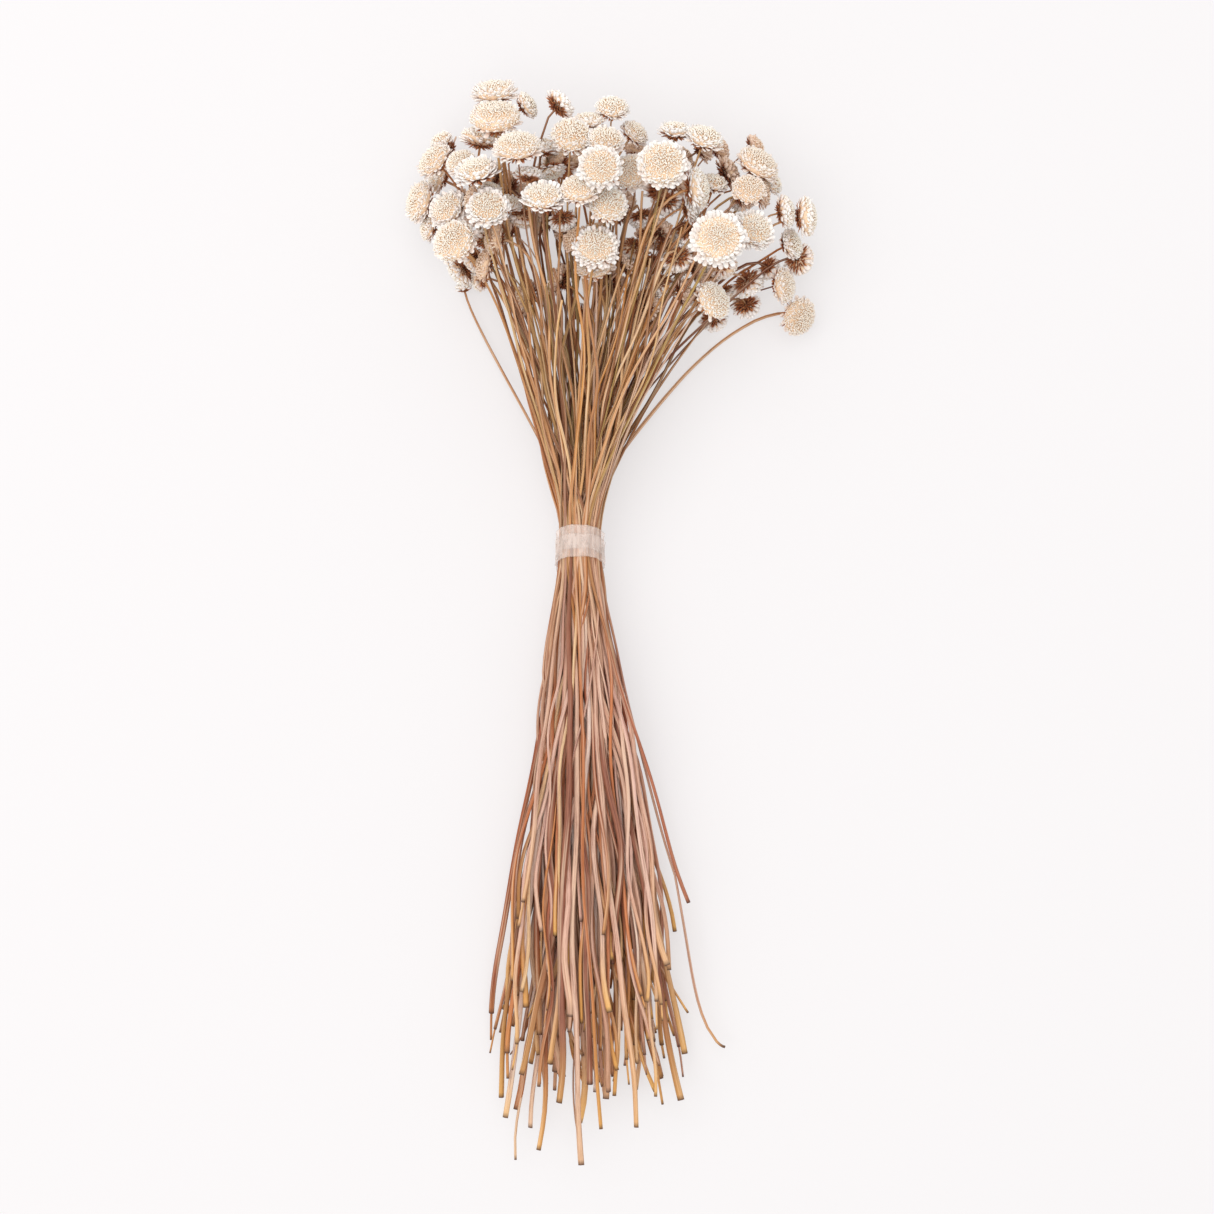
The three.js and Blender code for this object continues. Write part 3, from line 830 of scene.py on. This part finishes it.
def flower_mesh(radius, plain):
    """A flower of a given radius about its own axis."""
    fluffy = looks.random()
    disc_radius = radius * (0.7 + 0.17 * fluffy)
    pitch = FLORET_PITCH * (PLAIN_PITCH if plain else looks.uniform(0.95, 1.12))
    bract_width = looks.uniform(1.7, 2.3) * (0.5 * MM + 0.055 * radius)
    round_rim = 2 * math.pi * 0.85 * radius / bract_width
    values = {
        "Radius": radius,
        "Disc Radius": disc_radius,
        "Dome Height": radius * (0.28 + 0.12 * fluffy),
        "Florets": int(FLORET_FILL * (disc_radius / pitch) ** 2),
        "Floret Length": looks.uniform(0.95, 1.35) * MM,
        "Floret Width": pitch * 0.95,
        "Bracts": int(round_rim * (2.4 if plain else looks.uniform(3.4, 4.2))),
        "Bract Width": bract_width,
        "Bract Lift": looks.uniform(-0.1, 0.12),
        "Scales": 60 if plain else 84,
        # Shaded flowers get the full value, so their tips are painted browner as painted shade; open ones
        # wither at random.
        "Age": 1.0 if plain else 0.4 * fluffy * looks.random(),
        "Seed": int(looks.integers(1, 9999)),
        "Floret": floret_shape,
        "Bract": bract_shape,
        "Scale": scale_shape,
    }
    return run_tree(grow, {sockets[name]: value for name, value in values.items()})


triangles = 0
blooming = [flower for flower in flowers if "bare" not in flower]
for flower in blooming:
    mesh = flower_mesh(flower["radius"], flower["number"] > FRAMED + len(SHOWING))
    spin = Matrix.Rotation(looks.uniform(0, 2 * math.pi), 4, "Z")
    face = Vector(flower["facing"]).to_track_quat("Z", "Y").to_matrix().to_4x4()
    mesh.transform(Matrix.Translation(Vector(flower["centre"])) @ face @ spin)
    mesh.shade_smooth()
    piece(f"flower_{flower['number']:02d}", mesh, flower.get("nodes", ())[:1])
    triangles += sum(len(p.vertices) - 2 for p in mesh.polygons)
for shape in (floret_shape, bract_shape, scale_shape):
    bpy.data.objects.remove(shape)
print(len(blooming), "flowers,", triangles, "triangles")

# %% [markdown]
# ## Straw
# A dried stem is a hollow, ribbed straw. Above the tie it is thin, golden or olive. Below it,
# where the sheath has bleached, it is broader, flatter and mauve tan with ochre streaks, and
# towards the cut end it turns yellow. Stems that lie deep in the bunch are painted darker and
# browner, as painted shade. Streaks run along the stem, so the pattern is stretched lengthwise:
# it is read from `grain`, which holds the place round the stem and along it. Straw is dull with
# a faint waxy shine.


# %% The finish of the stems
STREAKS = 3.4  # fine streaks for each radius of the stem, about 0.3 mm each
PATCHES = 0.9  # and broad pale ones
STRETCH = 0.02  # a millimetre along the stem counts as this much of a radius


def straw_finish():
    """Dried straw: streaked lengthwise, with a colour above the tie and another below it."""
    made, tree, shader = material("dried_straw")
    read = {name: add(tree, "ShaderNodeAttribute", attribute_name=name).node.outputs
            for name in ("grain", "above", "below", "yellow", "cut")}
    place = add(tree, "ShaderNodeTexCoord").node.outputs["Object"]
    along = add(tree, "ShaderNodeSeparateXYZ", {0: place}).node.outputs["Y"]
    grain = read["grain"]["Vector"]
    fine = add(tree, "ShaderNodeTexNoise",
               {"Vector": grain, "Scale": STREAKS, "Detail": 5.0, "Roughness": 0.75})
    broad = add(tree, "ShaderNodeTexNoise", {"Vector": grain, "Scale": PATCHES, "Detail": 2.0})
    top = add(tree, "ShaderNodeMapRange", {0: along, 1: tie[1] - 60 * MM, 2: tie[1] + 45 * MM})
    colour = add(tree, "ShaderNodeMix",
                 {0: top, 6: read["below"]["Color"], 7: read["above"]["Color"]}, data_type="RGBA")
    dark = add(tree, "ShaderNodeMapRange", {0: fine, 1: 0.38, 2: 0.52, 3: 0.8, 4: 0.0})
    brown = add(tree, "ShaderNodeMix", {0: 1.0, 6: colour, 7: linear("#8f5236")},
                data_type="RGBA", blend_type="MULTIPLY")
    streaked = add(tree, "ShaderNodeMix", {0: dark, 6: colour, 7: brown}, data_type="RGBA")
    light = add(tree, "ShaderNodeMapRange", {0: broad, 1: 0.5, 2: 0.66, 3: 0.0, 4: 0.55})
    pale = add(tree, "ShaderNodeMix", {0: light, 6: streaked, 7: linear("#f4d6b8")}, data_type="RGBA")
    yellow, cut = read["yellow"]["Fac"], read["cut"]["Fac"]
    gold = add(tree, "ShaderNodeMix", {0: yellow, 6: pale, 7: linear("#e3ad5c")}, data_type="RGBA")
    # Dark brown at the cut: partly the cut tissue's own colour, partly painted shade for the hollow inside,
    # which is closed here.
    final = add(tree, "ShaderNodeMix", {0: cut, 6: gold, 7: linear("#4a2c1e")}, data_type="RGBA")
    tree.links.new(final, shader.inputs["Base Color"])
    shader.inputs["Roughness"].default_value = 0.55
    shader.inputs["Specular IOR Level"].default_value = 0.4
    bump = add(tree, "ShaderNodeBump", {"Height": fine, "Strength": 0.7, "Distance": 0.15 * MM})
    tree.links.new(bump, shader.inputs["Normal"])
    return made


straw = straw_finish()
print("finish", straw.name)

# %% [markdown]
# ## Sweeping a ribbed straw along a route
# A second tree sweeps a ribbed, slightly flattened ring along each route. The route comes in
# as a line of vertices that carry their own thickness and twist. Curve to Mesh does the sweep
# and closes both ends, and the ring's angle is stored on the way, because after the sweep it
# could no longer be told.

# %% The sweeping tree
STRAW_SIZES = [
    ("Geometry", "NodeSocketGeometry"),
    ("Sides", "NodeSocketInt"),
    ("Ribs", "NodeSocketFloat"),
    ("Rib Depth", "NodeSocketFloat"),
    ("Flatness", "NodeSocketFloat"),
    ("Grain Start", "NodeSocketFloat"),
    ("Above", "NodeSocketColor"),
    ("Below", "NodeSocketColor"),
]
sweep = bpy.data.node_groups.new("sweep_a_straw", "GeometryNodeTree")
straws = {name: sweep.interface.new_socket(name=name, in_out="INPUT", socket_type=kind).identifier
          for name, kind in STRAW_SIZES}
sweep.interface.new_socket(name="Geometry", in_out="OUTPUT", socket_type="NodeSocketGeometry")
asked = sweep.nodes.new("NodeGroupInput").outputs


def carried(name, kind="FLOAT"):
    """A value stored on the points that came in."""
    return add(sweep, "GeometryNodeInputNamedAttribute", {"Name": name}, data_type=kind)


route_line = add(sweep, "GeometryNodeMeshToCurve", {"Mesh": asked["Geometry"]})
twisted = add(sweep, "GeometryNodeSetCurveTilt", {"Curve": route_line, "Tilt": carried("twist")})
ring = add(sweep, "GeometryNodeCurvePrimitiveCircle", {"Resolution": asked["Sides"], "Radius": 1.0})
turn = add(sweep, "GeometryNodeSplineParameter").node.outputs["Factor"]
theta = maths(sweep, "MULTIPLY", turn, 2 * math.pi)
across_ring, up_ring = (maths(sweep, operation, theta) for operation in ("COSINE", "SINE"))
around = add(sweep, "ShaderNodeCombineXYZ", {0: across_ring, 1: up_ring})
marked = add(sweep, "GeometryNodeStoreNamedAttribute", {"Geometry": ring, "Name": "around", "Value": around},
             data_type="FLOAT_VECTOR", domain="POINT")
rib = maths(sweep, "COSINE", maths(sweep, "MULTIPLY", theta, asked["Ribs"]))
grown = maths(sweep, "MULTIPLY_ADD", rib, asked["Rib Depth"], 1.0)
ribbed = add(sweep, "ShaderNodeVectorMath",
             {0: add(sweep, "GeometryNodeInputPosition"), "Scale": grown}, operation="SCALE")
pressed_by = add(sweep, "ShaderNodeCombineXYZ", {0: 1.0, 1: asked["Flatness"], 2: 1.0})
pressed = add(sweep, "ShaderNodeVectorMath", {0: ribbed, 1: pressed_by}, operation="MULTIPLY")
section = add(sweep, "GeometryNodeSetPosition", {"Geometry": marked, "Position": pressed})
swept = add(sweep, "GeometryNodeCurveToMesh",
            {"Curve": twisted, "Profile Curve": section, "Scale": carried("girth"), "Fill Caps": True})
lengthwise = maths(sweep, "MULTIPLY_ADD", carried("run"), STRETCH, asked["Grain Start"])
far = add(sweep, "ShaderNodeCombineXYZ", {2: lengthwise})
streaks = add(sweep, "ShaderNodeVectorMath", {0: carried("around", "FLOAT_VECTOR"), 1: far}, operation="ADD")
result = add(sweep, "GeometryNodeStoreNamedAttribute", {"Geometry": swept, "Name": "grain", "Value": streaks},
             data_type="FLOAT_VECTOR", domain="POINT")
for name in ("Above", "Below"):
    result = add(sweep, "GeometryNodeStoreNamedAttribute",
                 {"Geometry": result, "Name": name.lower(), "Value": asked[name]},
                 data_type="FLOAT_COLOR", domain="POINT")
real = add(sweep, "GeometryNodeRealizeInstances", {"Geometry": result})
finished = add(sweep, "GeometryNodeSetMaterial", {"Geometry": real, "Material": straw})
sweep.links.new(finished, sweep.nodes.new("NodeGroupOutput").inputs[0])
print(len(sweep.nodes), "nodes sweep a straw")


# %% The line of one stalk
SPINE_STEPS = 400


def spine(k):
    """The whole route of a stem as close, even points, from its cut end into its flower."""
    flower = flowers[k]
    dense = flower["dense"]
    inner = np.flatnonzero(present[k])
    shift = path[:, k, inner[0]] - placed[:, k, inner[0]]
    start = dense[0] + [shift[0], 0, shift[1]]
    start[2] = max(start[2], flower["widths"][0])
    middle = np.column_stack([path[0, k, inner], slices[inner], path[1, k, inner]])
    neck = dense[np.argmax(dense[:, 1] > flower["stop"] + SLICE) : -4 : 8]
    into = flower["centre"] - flower["facing"] * 0.12 * flower["radius"]
    return through(np.vstack([start, middle[1::2], neck, dense[-1], into]), SPINE_STEPS)


def run_of(points):
    """How far along the line each point is, in metres."""
    return np.concatenate([[0], np.cumsum(np.linalg.norm(np.diff(points, axis=0), axis=1))])


def route_mesh(points, carried_values):
    """A line of vertices that carry named numbers."""
    mesh = bpy.data.meshes.new("route")
    mesh.from_pydata([tuple(p) for p in points], [(k, k + 1) for k in range(len(points) - 1)], [])
    for name, values in carried_values.items():
        mesh.attributes.new(name, "FLOAT", "POINT").data.foreach_set("value", np.asarray(values, np.float32))
    return mesh


# %% [markdown]
# ## How a stem ends
# Scissors leave a darkened cut. The straw's hollow is not modelled: the end is closed, and its
# dark brown is partly the cut tissue's own colour and partly painted shade for the hollow. On
# every third stem the papery sheath broke off a little before the core did, so a thin core
# sticks out of a wider sleeve. Some ends are bent or curled. The line gets extra points near
# the end, so that the cut and the sleeve stay crisp.

# %% Colours and stalks
ABOVE = ["#dca672", "#c08654", "#deb074", "#c8955e", "#b8985a", "#d49f6a", "#9c6a44", "#f0cda2",
         "#c7a26a", "#d89a54", "#946446", "#f2d4bc", "#a88a52", "#e8c08c"]
BELOW = ["#e4beae", "#daaf9e", "#f6e4d8", "#cd9f8a", "#e0bca6", "#cb7f50", "#d4915c", "#e8c498",
         "#b26c4e", "#d8ad96", "#f8eae2", "#c27c52", "#dcb69e", "#9a624b"]
HOOKED = 24  # the number of the stem whose end curls away from the others
HOOK_REACH = 6 * MM
HOOK_LENGTH = 70 * MM
HOOK_SKEW = 0.55  # under 1, the curl is strongest near the cut
SIDES = 16
EVEN_STEPS = 64
# Painted shade: the deepest stems lose this share of their red, green and blue.
DEPTH_SHADE = np.array([0.44, 0.66, 0.78, 0.0])  # what the deepest stems have less of red, green and blue


def browned(code, depth):
    """The colour with painted shade for a depth in the bunch, from 0 on top to 1 underneath."""
    return list(np.array(linear(code)) * (1 - DEPTH_SHADE * depth))


habits = np.random.default_rng(23)
triangles = 0
for k, flower in enumerate(flowers):
    smooth = spine(k)
    at = run_of(smooth)
    sleeve = habits.uniform(4, 14) * MM if habits.random() < 0.35 else 0
    cuts = [0, 0.2 * MM, 0.9 * MM]
    if sleeve:
        cuts += [sleeve - 0.3 * MM, sleeve, sleeve + 0.2 * MM, sleeve + 0.9 * MM]
    steps = np.unique(np.concatenate([cuts, np.linspace(2.2 * MM, at[-1], EVEN_STEPS)]))
    points = np.column_stack([np.interp(steps, at, smooth[:, axis]) for axis in range(3)])
    curl = habits.normal(0, 2.2, 2) * [1, 0.3] * MM
    bend = np.clip(1 - steps / (habits.uniform(14, 40) * MM), 0, 1) ** 2
    points[:, 0] += bend * curl[0]
    points[:, 2] = np.maximum(points[:, 2] + bend * curl[1], flower["widths"][0])
    if flower["number"] == HOOKED:
        way_along = np.clip(steps / HOOK_LENGTH, 0, 1) ** HOOK_SKEW
        points[:, 0] -= HOOK_REACH * np.sin(math.pi * way_along)
    tie_at = at[np.argmin(np.abs(smooth[:, 1] - tie[1]))]
    wide, tied, thin = flower["widths"]
    girth = np.interp(steps, [0, tie_at * 0.6, tie_at, at[-1]], [wide, wide * 0.9, tied, thin])
    girth *= 1 + 0.07 * np.sin(steps / (13 * MM) + habits.uniform(0, 6))
    girth[steps < sleeve] *= habits.uniform(0.45, 0.6)
    since_cut = np.where(steps < sleeve, steps, steps - sleeve)
    yellow = habits.random() * np.clip(1 - steps / (habits.uniform(20, 70) * MM), 0, 1)
    mesh = route_mesh(points, {
        "girth": girth,
        "twist": habits.uniform(0, math.pi) + steps / at[-1] * habits.uniform(-3, 3),
        "run": steps / MM,
        "yellow": yellow,
        # The dark cut mark: partly the cut's own colour, partly painted shade for the closed hollow.
        "cut": np.clip(1.4 - since_cut / (1.1 * MM), 0, 1) * 0.9,
    })
    values = {
        "Sides": SIDES,
        "Ribs": float(habits.integers(4, 8)),
        "Rib Depth": habits.uniform(0.05, 0.12),
        "Flatness": habits.uniform(0.5, 0.9),
        "Grain Start": habits.uniform(0, 90),
        # Painted shade: stems lower in the bunch, and cut ends nearer the table, are painted darker and
        # browner.
        "Above": browned(ABOVE[habits.integers(len(ABOVE))], ((1 - height[k]) / 2) ** 1.2),
        "Below": browned(BELOW[habits.integers(len(BELOW))], max(1 - smooth[0, 2] / TAIL_HEIGHT, 0) ** 1.2),
    }
    mesh = run_tree(sweep, {straws[name]: value for name, value in values.items()}, mesh)
    for polygon in mesh.polygons:
        polygon.use_smooth = len(polygon.vertices) == 4
    piece(f"stalk_{flower['number']:02d}", mesh, flower.get("nodes", ())[1:])
    triangles += sum(len(p.vertices) - 2 for p in mesh.polygons)
print(len(flowers), "stalks,", triangles, "triangles")

# %% [markdown]
# ## The tape
# The tie is a strip of clear plastic film, wound a little over twice round the stems. It was
# pulled tight over a bumpy bundle, so it shows fine ridges that follow the stems and creases
# that run slantwise. It is modelled as one thin closed band along a spiral, with the film's
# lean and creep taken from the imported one.

# %% Wind the tape
TAPE_TURNS = 2.2
TAPE_WIDTH = 9 * MM
TAPE_ADVANCE = 3.0 * MM
TAPE_LEAN = 0.45
TAPE_SHIFT = -3.6 * MM  # towards the cut ends, as the leaning turns sit on top
TAPE_FILM = 0.07 * MM
TAPE_LAYER = 0.26 * MM
ROUND_STEPS = 150
WIDE_STEPS = 14
tape_half = np.array([TIE_HALF[0] - 1.3 * MM, TIE_HALF[2] - 1.9 * MM])


def tape_ripple(angle, wide, turn):
    """How far the film stands off its oval: stem ridges, slanting creases and a lifted edge."""
    ridges = 0.14 * np.sin(angle * 11 + 1.3 * np.sin(angle * 5)) + 0.03 * np.sin(angle * 23 + 2)
    creases = 0.12 * np.sin(angle * 8 + wide * 5 + turn * 2) * np.sin(angle * 3 + 1)
    edge = 0.25 * np.abs(wide) ** 6 * np.sin(angle * 6 + turn)
    return (ridges + creases + edge) * MM


def tape_mesh():
    """The band as two skins, one outside and one inside, closed along the edges."""
    rows = int(TAPE_TURNS * ROUND_STEPS)
    turn = np.linspace(0, TAPE_TURNS, rows)[:, None]
    wide = np.linspace(-1, 1, WIDE_STEPS)[None]
    angle = -turn * 2 * math.pi - math.pi / 2
    out = turn * TAPE_LAYER + tape_ripple(angle, wide, turn)
    skins = []
    for skin in (TAPE_FILM, 0):
        x = tie[0] + (tape_half[0] + out + skin) * np.cos(angle)
        height_off = (tape_half[1] + out + skin) * np.sin(angle)
        creep = TAPE_ADVANCE * (TAPE_TURNS / 2 - turn) + 0.5 * MM * np.sin(angle + turn)
        half_width = TAPE_WIDTH / 2 * (1 - 0.03 * np.cos(5 * angle))
        y = tie[1] + TAPE_SHIFT + wide * half_width + creep + TAPE_LEAN * height_off
        skins.append(np.stack([x, y, tie[2] + height_off], axis=-1).reshape(-1, 3))
    total = rows * WIDE_STEPS
    faces = []
    for r in range(rows - 1):
        for w in range(WIDE_STEPS - 1):
            a = r * WIDE_STEPS + w
            quad = [a, a + 1, a + WIDE_STEPS + 1, a + WIDE_STEPS]
            faces += [quad, [total + v for v in quad[::-1]]]
    edge = [r * WIDE_STEPS for r in range(rows)]
    border = list(range(WIDE_STEPS)) + [v + WIDE_STEPS - 1 for v in edge[1:]]
    border += [edge[-1] + w for w in range(WIDE_STEPS - 2, -1, -1)] + edge[-2:0:-1]
    for a, b in zip(border, border[1:] + border[:1]):
        faces.append([b, a, total + a, total + b])
    mesh = bpy.data.meshes.new("tape")
    mesh.from_pydata([tuple(p) for p in np.vstack(skins)], [], faces)
    form = bmesh.new()
    form.from_mesh(mesh)
    bmesh.ops.recalc_face_normals(form, faces=form.faces)
    form.to_mesh(mesh)
    form.free()
    mesh.shade_smooth()
    return mesh


# %% The finish of the tape
CREASE = 2.6 * MM


def film_finish():
    """Clear packing film: glossy, gone milky where it is creased or lies double."""
    made, tree, shader = material("clear_packing_film")
    shader.inputs["Base Color"].default_value = linear("#f6e5db")
    shader.inputs["Roughness"].default_value = 0.22
    shader.inputs["IOR"].default_value = 1.5
    place = add(tree, "ShaderNodeTexCoord").node.outputs["Object"]
    slanted = add(tree, "ShaderNodeMapping",
                  {"Vector": place, "Rotation": (0.0, 0.0, 0.15), "Scale": (2.2, 0.5, 1.0)})
    crease = add(tree, "ShaderNodeTexNoise", {"Vector": slanted, "Scale": 1 / CREASE, "Detail": 3.0})
    alpha = add(tree, "ShaderNodeMapRange", {0: crease, 1: 0.35, 2: 0.65, 3: 0.2, 4: 0.4})
    tree.links.new(alpha, shader.inputs["Alpha"])
    bump = add(tree, "ShaderNodeBump", {"Height": crease, "Strength": 0.5, "Distance": 0.2 * MM})
    tree.links.new(bump, shader.inputs["Normal"])
    return made


tape = tape_mesh()
tape.materials.append(film_finish())
piece("waist_tape", tape, ["tie_tape"])
print("tape", len(tape.polygons), "faces")

# %% [markdown]
# ## Table, light and camera
# The bunch lies on an opal table that is lit from within, as for catalogue pictures, under a
# large soft light from the upper left and a pale surround. So shadows are faint and nearly
# white. The camera hangs 1.3 metres above the table and looks straight down.

# %% Table
TABLE_SIZE = 8.0
TABLE_GLOW = 0.55
floor_mesh = bpy.data.meshes.new("table")
half = TABLE_SIZE / 2
table_corners = [(-half, -half, 0), (half, -half, 0), (half, half, 0), (-half, half, 0)]
floor_mesh.from_pydata(table_corners, [], [(0, 1, 2, 3)])
table = bpy.data.objects.new("table", floor_mesh)
bpy.context.scene.collection.objects.link(table)
table_white, _, table_shader = material("opal_light_table")
table_shader.inputs["Base Color"].default_value = linear("#9d9b9c")
table_shader.inputs["Emission Color"].default_value = linear("#fffdfd")
table_shader.inputs["Emission Strength"].default_value = TABLE_GLOW
table_shader.inputs["Roughness"].default_value = 0.9
table_shader.inputs["Specular IOR Level"].default_value = 0.1
floor_mesh.materials.append(table_white)
table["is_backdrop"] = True
print("table", TABLE_SIZE, "m")


# %% Light
def area_light(name, place, aim, width, power, colour):
    """A square soft light, with its width in metres and its power in watts."""
    data = bpy.data.lights.new(name, "AREA")
    data.size = width
    data.energy = power
    data.color = linear(colour)[:3]
    lamp = bpy.data.objects.new(name, data)
    lamp.location = place
    lamp.rotation_euler = (Vector(aim) - Vector(place)).to_track_quat("-Z", "Y").to_euler()
    bpy.context.scene.collection.objects.link(lamp)
    return lamp


SURROUND = 0.78
area_light("softbox", (-0.5, 0.3, 1.7), (0, 0, 0), 2.2, 24.0, "#fffdfb")
world = bpy.data.worlds.new("studio")
world.use_nodes = True
world.node_tree.nodes["Background"].inputs["Color"].default_value = linear("#ffffff")
world.node_tree.nodes["Background"].inputs["Strength"].default_value = SURROUND
bpy.context.scene.world = world
bpy.context.scene.view_settings.view_transform = "Standard"
print("one softbox and a pale surround")

# %% Camera
CAMERA_HEIGHT = 1.3
FRAME_WIDTH = 471 * MM  # what the camera sees at the height of the tie
SENSOR = 36.0
AIM_OFF_TIE = np.array([10.5, -25.6, 0]) * MM
look_at = tie + AIM_OFF_TIE
camera_data = bpy.data.cameras.new("camera")
camera_data.sensor_width = SENSOR
camera_data.lens = SENSOR * (CAMERA_HEIGHT - tie[2]) / FRAME_WIDTH
camera = bpy.data.objects.new("camera", camera_data)
camera.location = (look_at[0], look_at[1], CAMERA_HEIGHT)
bpy.context.scene.collection.objects.link(camera)
bpy.context.scene.camera = camera
print("lens", round(camera_data.lens, 1), "mm")

# %% Measure and finish
shown_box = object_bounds()
for label, box in (("shown", shown_box), ("cad", cad_box)):
    print(label, [[round(v / MM, 1) for v in corner] for corner in box], "mm")
